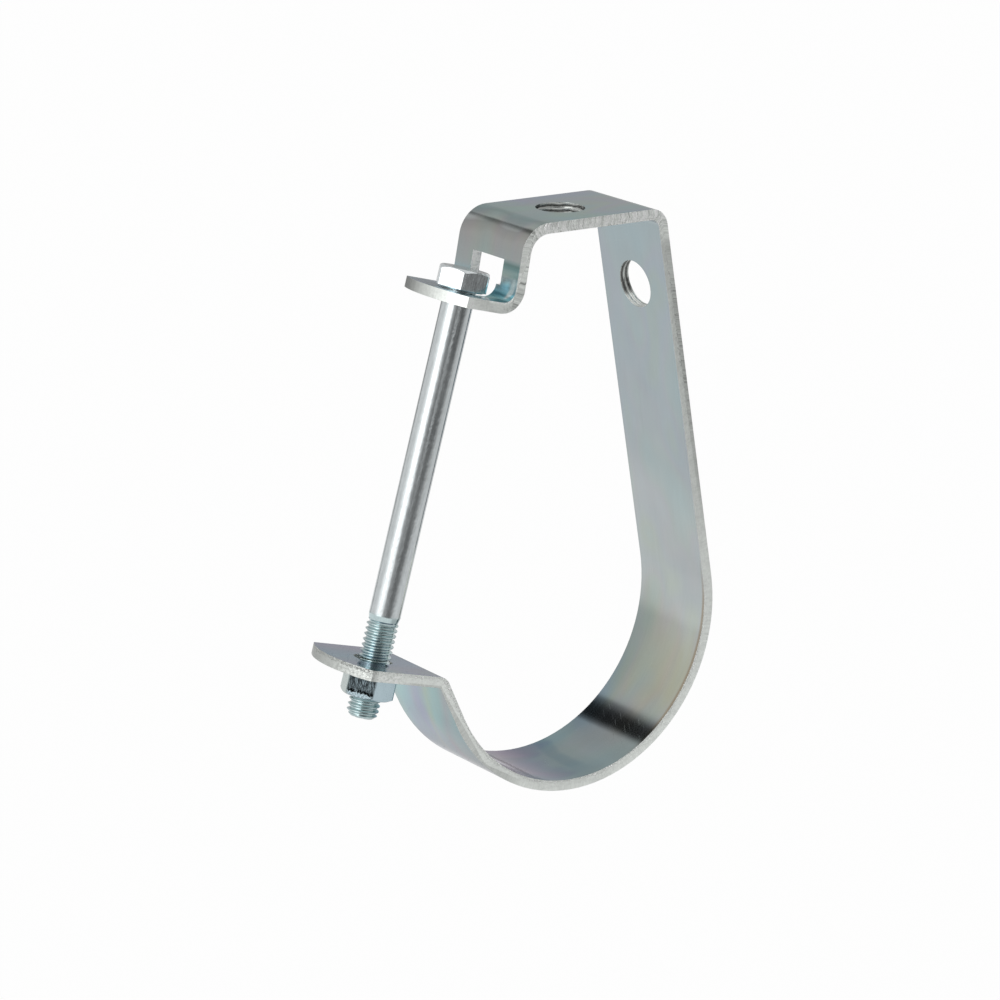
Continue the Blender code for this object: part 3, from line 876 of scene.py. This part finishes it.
def make_strap(look):
    """The folded strap with broken edges, rolled faces and sheared walls."""
    piece = solid_copy("hanger_strap", "folded_strap")
    line = middle_line("hanger_strap")
    side_hole = blank_places(np.array([HOLE_CENTRES[1]]), line)[0, 0]
    for finish in (sheet_finish(look), edge_finish(look), hole_finish(look, side_hole)):
        piece.data.materials.append(finish)
    for face in piece.data.polygons:
        if sheet_normal(face, line) < 0.5:
            near = min((face.center - centre).length for centre in HOLE_CENTRES)
            face.material_index = 2 if near < HOLE_REACH else 1
    break_edges(piece, look.edge_break, STRAP_SHARP)
    even_normals(piece, line)
    lay_blank(piece, line)
    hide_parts("hanger_strap")
    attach(piece, "hanger")


def drawn_line(name, points):
    """A line of edges: a plane drawn together to its first point and extruded from point to point."""
    bpy.ops.object.select_all(action="DESELECT")
    bpy.ops.mesh.primitive_plane_add(size=0.001, location=points[0])
    piece = bpy.context.active_object
    piece.name = name
    bpy.ops.object.transform_apply(location=True, rotation=False, scale=False)
    with editing(piece):
        bpy.ops.mesh.select_mode(type="VERT")
        bpy.ops.mesh.merge(type="CENTER")
        for last, point in zip(points, points[1:]):
            bpy.ops.mesh.extrude_region_move(TRANSFORM_OT_translate={"value": point - last})
    return piece


def thread_surface(name, bottom, top, radius_at):
    """A right-hand thread's surface about the bolt's axis, between two heights in the bolt's frame.

    The phase is fixed in the bolt's frame, so the nut's thread lies in the bolt's. radius_at gives
    the radius by the height and by how full the profile is: one at a crest, zero in a root.
    """
    turns = floor((top - bottom) / PITCH) + 4
    start = (floor(bottom / PITCH) - 2 + THREAD_PHASE) * PITCH
    profile = THREAD_PROFILE + [
        (1 - share, fullness) for share, fullness in reversed(THREAD_PROFILE[:-1])]
    piece = drawn_line(
        name, [Vector((1 + fullness, 0, start + share * PITCH)) for share, fullness in profile])
    apply_modifier(
        piece, "SCREW", axis="Z", angle=2 * pi, screw_offset=PITCH, iterations=turns,
        steps=THREAD_STEPS, render_steps=THREAD_STEPS, use_merge_vertices=True,
        merge_threshold=SAME_PLACE)
    for height, outer in ((top, True), (bottom, False)):
        with editing(piece):
            bpy.ops.mesh.bisect(
                plane_co=(0, 0, height), plane_no=(0, 0, 1), clear_outer=outer, clear_inner=not outer)
    for corner in piece.data.vertices:
        flat = corner.co.xy
        corner.co.xy = flat.normalized() * radius_at(corner.co.z, flat.length - 1)
    only(piece)
    bpy.ops.object.shade_smooth_by_angle(angle=radians(30))
    return piece


def close_ends(piece):
    """Merges a piece's seams and fills its open ends, faces outwards."""
    with editing(piece):
        bpy.ops.mesh.remove_doubles(threshold=SAME_PLACE)
        bpy.ops.mesh.select_all(action="DESELECT")
        bpy.ops.mesh.select_mode(type="EDGE")
        bpy.ops.mesh.select_non_manifold()
        bpy.ops.mesh.fill_holes(sides=0)
        bpy.ops.mesh.select_all(action="SELECT")
        bpy.ops.mesh.normals_make_consistent(inside=False)


def join_pieces(main, *others):
    """Joins other pieces to the main one, which keeps its name."""
    only(main)
    for other in others:
        other.select_set(True)
    bpy.ops.object.join()


def close_mouths(nut, heights):
    """Joins the thread to the hexagon round the bore's mouths."""
    with editing(nut):
        bpy.ops.mesh.select_mode(type="EDGE")
        for height in heights:
            bpy.ops.mesh.select_all(action="DESELECT")
            bm = bmesh.from_edit_mesh(nut.data)
            for edge in bm.edges:
                if edge.is_boundary and all(abs(end.co.z - height) < MOUTH_SLACK for end in edge.verts):
                    edge.select_set(True)
            bmesh.update_edit_mesh(nut.data)
            bpy.ops.mesh.bridge_edge_loops()


def ramp(value, low, high):
    """Zero at low, one at high, straight between."""
    return min(1.0, max(0.0, (value - low) / (high - low)))


def make_bolt(look):
    """The bolt: the solid's head and shank with a real rolled thread below them."""
    head = solid_copy("hex_bolt", "threaded_bolt", BOLT_FRAME)
    tip = min(corner.co.z for corner in head.data.vertices)
    shank = max(corner.co.xy.length for corner in head.data.vertices if corner.co.z < UNDER_HEAD)
    shoulder = tip + look.thread_length
    with editing(head):
        bpy.ops.mesh.bisect(
            plane_co=(0, 0, shoulder), plane_no=(0, 0, 1), clear_inner=True, use_fill=True)
    neck = shank - look.neck_step
    neck_foot = shoulder - look.neck_length

    def radius_at(height, fullness):
        """The shank's cone, then a thread that deepens over one turn, then the tip's chamfer."""
        cone = shank - (shank - neck) * ramp(height, shoulder, neck_foot)
        started = ramp(height, neck_foot, neck_foot - THREAD_RUNOUT * PITCH)
        crest = cone + (look.crest - cone) * started
        root = cone + (look.root - cone) * started
        chamfer = look.root - TIP_DEPTH + (height - tip) * TIP_SLOPE
        return min(root + (crest - root) * fullness, chamfer)

    thread = thread_surface("bolt_thread", tip, shoulder + THREAD_OVERLAP, radius_at)
    close_ends(thread)
    break_edges(head, HEX_EDGE_BREAK, HEX_SHARP)
    join_pieces(head, thread)
    head.data.transform(BOLT_FRAME)
    head.data.materials.append(bolt_finish(look))
    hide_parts("hex_bolt")
    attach(head, "bolt")


def make_nut(look):
    """The nut: the solid's hexagon with a real thread in its bore."""
    nut = solid_copy("hex_nut", "threaded_nut", BOLT_FRAME)
    corners = nut.data.vertices
    bore = min(corner.co.xy.length for corner in corners)
    mouths = [corner.co.z for corner in corners if corner.co.xy.length < bore + BORE_SLACK]
    low, high = min(mouths), max(mouths)
    eye = BOLT_FRAME.to_3x3().inverted() @ photo_back(bpy.context.scene.hanger_stage)
    sides = [
        face for face in nut.data.polygons if abs(face.normal.z) < 0.1 and face.area > FLAT_AREA]
    facing = max(sides, key=lambda face: face.normal.dot(eye))
    flat, reach = facing.normal.copy(), facing.center.dot(facing.normal)
    with editing(nut):
        bm = bmesh.from_edit_mesh(nut.data)
        for face in bm.faces:
            face.select_set(all(corner.co.xy.length < bore + BORE_SLACK for corner in face.verts))
        bmesh.update_edit_mesh(nut.data)
        bpy.ops.mesh.delete(type="FACE")
    break_edges(nut, HEX_EDGE_BREAK, HEX_SHARP)

    def radius_at(height, fullness):
        """The bolt's thread with play round it, opening into the bore at both mouths."""
        cut = look.root + (look.crest - look.root) * fullness + look.play
        return min(bore, max(cut, bore - min(height - low, high - height)))

    thread = thread_surface("nut_thread", low, high, radius_at)
    with editing(thread):
        bpy.ops.mesh.remove_doubles(threshold=SAME_PLACE)
        bpy.ops.mesh.normals_make_consistent(inside=False)
    face = thread.data.polygons[0]
    if face.normal.xy.dot(face.center.xy) > 0:
        thread.data.flip_normals()
    join_pieces(nut, thread)
    close_mouths(nut, (low, high))
    nut.data.transform(BOLT_FRAME)
    nut.data.materials.append(nut_finish(look, flat, reach, low))
    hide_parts("hex_nut")
    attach(nut, "nut")


# Stage


def photo_back(look):
    """The way from the object to the photograph's camera."""
    return Vector((
        sin(look.azimuth) * cos(look.elevation),
        -cos(look.azimuth) * cos(look.elevation),
        sin(look.elevation)))


def make_camera(look):
    """The photograph's camera."""
    back = photo_back(look)
    right = (-back).cross(Vector((0, 0, 1))).normalized()
    up = right.cross(-back)
    place = CRADLE_CENTRE + back * look.distance + right * look.right + up * look.up
    side = right * cos(look.roll) + up * sin(look.roll)
    top = up * cos(look.roll) - right * sin(look.roll)
    bpy.ops.object.camera_add()
    camera = bpy.context.active_object
    camera.name = "photo_camera"
    camera.matrix_world = Matrix((
        (side.x, top.x, back.x, place.x), (side.y, top.y, back.y, place.y),
        (side.z, top.z, back.z, place.z), (0, 0, 0, 1)))
    camera.data.sensor_width = 36
    camera.data.lens = look.lens
    camera.data.clip_end = 20
    bpy.context.scene.camera = camera


def make_room():
    """The room that the metal mirrors: a soft box on the left and a dark card behind.

    ROOM_WALLS gives the walls' level by the bearing from +Y towards +X.
    """
    world = bpy.data.worlds.new("studio")
    bpy.context.scene.world = world
    world.use_nodes = True
    room = Finish(world.node_tree)
    x, y, z = room.parts(room.node("ShaderNodeTexCoord", None, None, 0))
    turn = x.math("ARCTAN2", y)
    stops = [(bearing / 360 + 0.5, level / TOP_LEVEL) for bearing, level in ROOM_WALLS]
    sky = room.gradient(stops, turn / (2 * pi) + 0.5) * TOP_LEVEL
    box = (sky - BOX_FOOT_LEVEL).math("MAXIMUM", 0.0)
    sky -= box * z.step(*(sin(height) for height in BOX_FOOT))
    sky += z.step(*(sin(height) for height in CEILING)) * (CEILING_LEVEL - sky)
    sky += z.step(*HORIZON) * (FAR_FLOOR_LEVEL - sky)
    card = turn.step(*CARD_RIGHT) * turn.step(*CARD_LEFT) * z.math("ARCSINE").band(*CARD_HEIGHT)
    sky *= (1 - card * CARD_DARKNESS)
    sees = room.node("ShaderNodeLightPath", output="Is Camera Ray")
    room.feed(room.nodes["Background"].inputs["Color"], room.grey(sky + sees * (1.0 - sky)))


def make_floor(look):
    """A pale floor below the hanging part, white to the camera and to the metal.

    It is clear from below, and its near side is dark to the metal, as behind a camera.
    """
    bpy.ops.object.select_all(action="DESELECT")
    low = CAD_BOX[0].z - look.floor_drop
    bpy.ops.mesh.primitive_plane_add(size=FLOOR_SIZE, location=(0, 0, low))
    floor = bpy.context.active_object
    floor.name = "floor"
    material = bpy.data.materials.new("pale_floor")
    material.use_nodes = True
    paint = Finish(material.node_tree)
    shader = paint.nodes["Principled BSDF"]
    settings = {"Base Color": (0.9, 0.9, 0.9), "Roughness": 0.9, "Specular IOR Level": 0.0}
    for name, value in settings.items():
        paint.feed(shader.inputs[name], value)
    x, y, _ = paint.parts(paint.node("ShaderNodeTexCoord", output="Object"))
    off = (x * x + y * y).math("SQRT")
    front = y.step(*FRONT[0]) * FRONT[1]
    behind = y.step(*BEHIND[0]) * x.step(*BEHIND[1]) * BEHIND[2]
    near = off.step(*UNDER[0]) * UNDER[1]
    near += x.step(*UNDER_RIGHT[0]) * off.step(*UNDER_RIGHT[1]) * UNDER_RIGHT[2]
    level = (1 - front) * (1 - behind) * (1 - near) * (1 - x.step(*RIGHT[0]) * RIGHT[1])
    level *= (1 - off.step(*FAR_OFF[0]) * FAR_OFF[1])
    seen = paint.node("ShaderNodeLightPath", output="Is Camera Ray")
    mirrored = paint.node("ShaderNodeLightPath", output="Is Glossy Ray")
    glow = paint.node("ShaderNodeEmission", None, {"Color": paint.grey(seen + mirrored * level)})
    share = seen * GLOW_TO_CAMERA + mirrored * GLOW_TO_METAL
    plain = Value(paint, shader.outputs[0])
    lit = paint.node("ShaderNodeMixShader", None, {0: share, 1: plain, 2: glow})
    under = paint.node("ShaderNodeNewGeometry", output="Backfacing")
    clear = paint.node("ShaderNodeBsdfTransparent")
    both = paint.node("ShaderNodeMixShader", None, {0: under, 1: lit, 2: clear})
    paint.feed(paint.nodes["Material Output"].inputs["Surface"], both)
    floor.data.materials.append(material)


# Operators and panel


class HANGER_OT_stage(bpy.types.Operator):
    """Add the floor, the room's light and the photograph's camera"""

    bl_idname = "hanger.stage"
    bl_label = "Stage"

    def execute(self, context):
        look = context.scene.hanger_stage
        make_floor(look)
        make_room()
        make_camera(look)
        context.scene.view_settings.view_transform = "Standard"
        return {"FINISHED"}


class HANGER_OT_strap(bpy.types.Operator):
    """Build the folded strap over its solid"""

    bl_idname = "hanger.strap"
    bl_label = "Strap"

    def execute(self, context):
        make_strap(context.scene.hanger_strap)
        return {"FINISHED"}


class HANGER_OT_bolt(bpy.types.Operator):
    """Build the threaded bolt over its solid"""

    bl_idname = "hanger.bolt"
    bl_label = "Bolt"

    def execute(self, context):
        make_bolt(context.scene.hanger_bolt)
        return {"FINISHED"}


class HANGER_OT_nut(bpy.types.Operator):
    """Build the threaded nut over its solid"""

    bl_idname = "hanger.nut"
    bl_label = "Nut"

    def execute(self, context):
        make_nut(context.scene.hanger_bolt)
        return {"FINISHED"}


class HANGER_PT_panel(bpy.types.Panel):
    """The hanger's operators and sizes"""

    bl_idname = "HANGER_PT_panel"
    bl_label = "J-hanger"
    bl_space_type = "VIEW_3D"
    bl_region_type = "UI"
    bl_category = "Hanger"

    def draw(self, context):
        for name in ("stage", "strap", "bolt", "nut"):
            self.layout.operator("hanger." + name)
        for group in LOOKS:
            look = getattr(context.scene, group)
            for name in look.__annotations__:
                self.layout.prop(look, name)


LOOKS = {"hanger_strap": StrapLook, "hanger_bolt": BoltLook, "hanger_stage": StageLook}
CLASSES = (
    *LOOKS.values(),
    HANGER_OT_stage, HANGER_OT_strap, HANGER_OT_bolt, HANGER_OT_nut, HANGER_PT_panel,
)


def register():
    for each in CLASSES:
        bpy.utils.register_class(each)
    for name, look in LOOKS.items():
        setattr(bpy.types.Scene, name, PointerProperty(type=look))


def unregister():
    for name in LOOKS:
        delattr(bpy.types.Scene, name)
    for each in reversed(CLASSES):
        bpy.utils.unregister_class(each)


def main():
    register()
    bpy.ops.hanger.stage()
    bpy.ops.hanger.strap()
    bpy.ops.hanger.bolt()
    bpy.ops.hanger.nut()
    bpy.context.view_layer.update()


if __name__ == "__main__":
    main()
